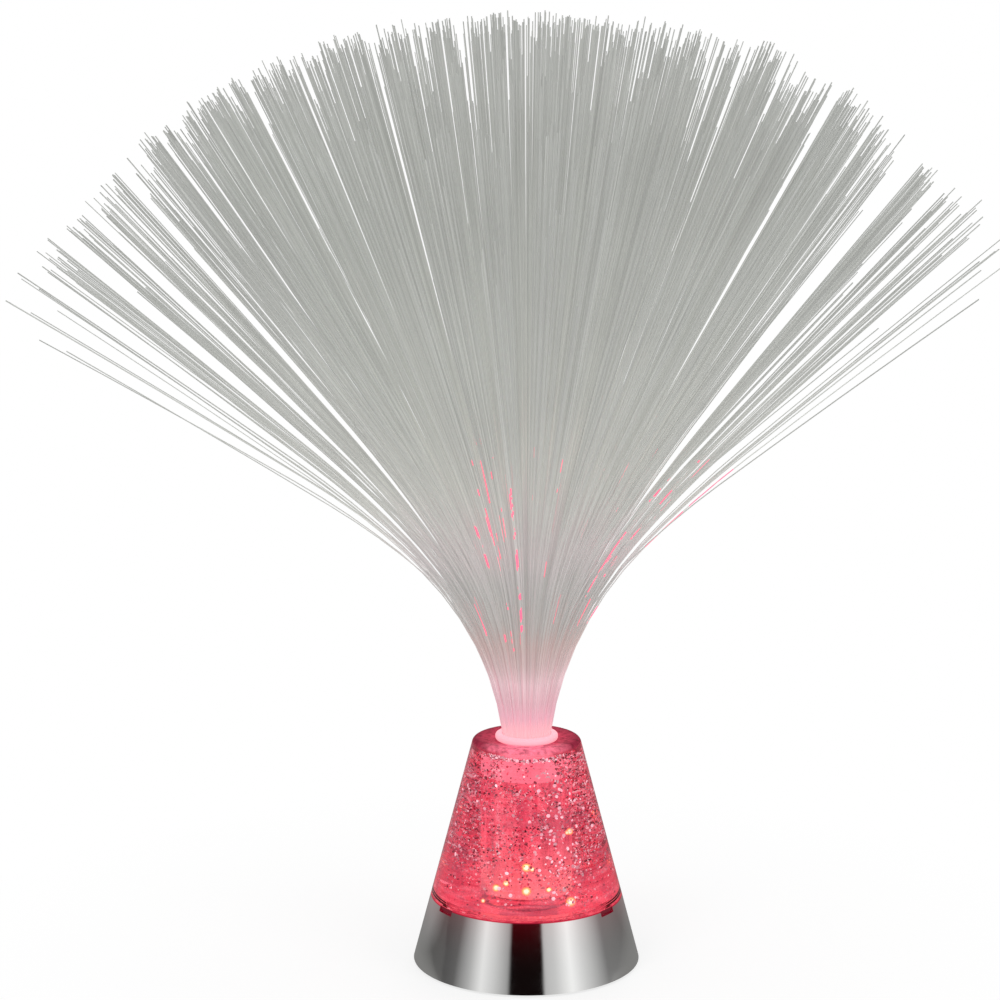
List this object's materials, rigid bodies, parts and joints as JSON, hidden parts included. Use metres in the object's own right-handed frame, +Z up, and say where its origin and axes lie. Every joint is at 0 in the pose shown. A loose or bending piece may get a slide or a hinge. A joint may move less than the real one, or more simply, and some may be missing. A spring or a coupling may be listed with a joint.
{
  "type": "fibre optic lamp",
  "caption": "Battery fibre optic lamp: bright conical base, clear glitter-liquid cone lit from below, and a fan of fine clear fibres rising from a collar in its top.",
  "frame": {"origin": "on the table, under the middle of the base", "axes": "+Z up along the lamp axis; -Y is the front that the picture shows; +X to the right seen from the front"},
  "size_m": [0.3462, 0.3496, 0.3326],
  "materials": {
    "bright_plating": "mirror-bright plating on moulded plastic, faint moulding waviness",
    "clear_acrylic": "clear polished acrylic, thick walled, takes the colour of the lit liquid",
    "lit_liquid": "clear liquid lit red-pink from below",
    "silver_glitter": "mirror flakes, some tarnished dark",
    "milky_collar": "milky translucent plastic, glows pink",
    "clear_fibre": "drawn clear plastic fibre, cut square at the tips",
    "black_plastic": "fine spark texture",
    "white_plastic": "smooth moulded plastic",
    "white_rubber": "smooth",
    "black_rubber": "matt",
    "plated_steel": "zinc or nickel plated",
    "cell_jacket": "printed film jacket, left plain, steel ends",
    "circuit_board": "solder mask over glass laminate",
    "resistor_body": "black chip resistors with tinned ends",
    "capacitor_can": "drawn can",
    "led_epoxy": "clear epoxy, lit",
    "red_insulation": "extruded insulation",
    "black_insulation": "extruded insulation"
  },
  "bodies": {
    "base": {"base_plate": "black_plastic", "base_screws": "plated_steel", "base_shell": "bright_plating", "battery_cell_1": "cell_jacket", "battery_cell_2": "cell_jacket", "battery_cell_3": "cell_jacket", "battery_contacts": "plated_steel", "battery_springs": "plated_steel", "board_capacitor": "capacitor_can", "board_resistors": "resistor_body", "board_screws": "plated_steel", "chamber_floor": "clear_acrylic", "chamber_shell": "clear_acrylic", "controller_chip": "black_plastic", "filler_plug": "white_rubber", "glitter_flakes": "silver_glitter", "glitter_liquid": "lit_liquid", "led_1": "led_epoxy", "led_2": "led_epoxy", "led_3": "led_epoxy", "led_4": "led_epoxy", "led_5": "led_epoxy", "led_board": "circuit_board", "reflector_plate": "white_plastic", "rubber_feet": "black_rubber", "switch_housing": "plated_steel", "switch_screws": "plated_steel", "well_tube": "clear_acrylic", "wire_black": "black_insulation", "wire_red": "red_insulation", "wire_switch": "red_insulation"},
    "door": {"battery_door": "black_plastic", "battery_door_screw": "plated_steel"},
    "slider": {"switch_slider": "white_plastic"},
    "spray": {"fibre_ferrule": "milky_collar", "ferrule_lens": "clear_acrylic", "fibres_core": "clear_fibre", "fibres_inner": "clear_fibre", "fibres_middle": "clear_fibre", "fibres_outer": "clear_fibre"}
  },
  "joints": [
    {"name": "switch_slide", "type": "slide", "parent": "base", "child": "slider", "axis": [0, -1, 0], "range_m": [0, 0.0025]},
    {"name": "door_swing", "type": "hinge", "parent": "base", "child": "door", "pos_m": [0, -0.02825, 0.002], "axis": [-1, 0, 0], "range_deg": [0, 80]},
    {"name": "spray_lift", "type": "slide", "parent": "base", "child": "spray", "axis": [0, 0, 1], "range_m": [0, 0.022]}
  ]
}
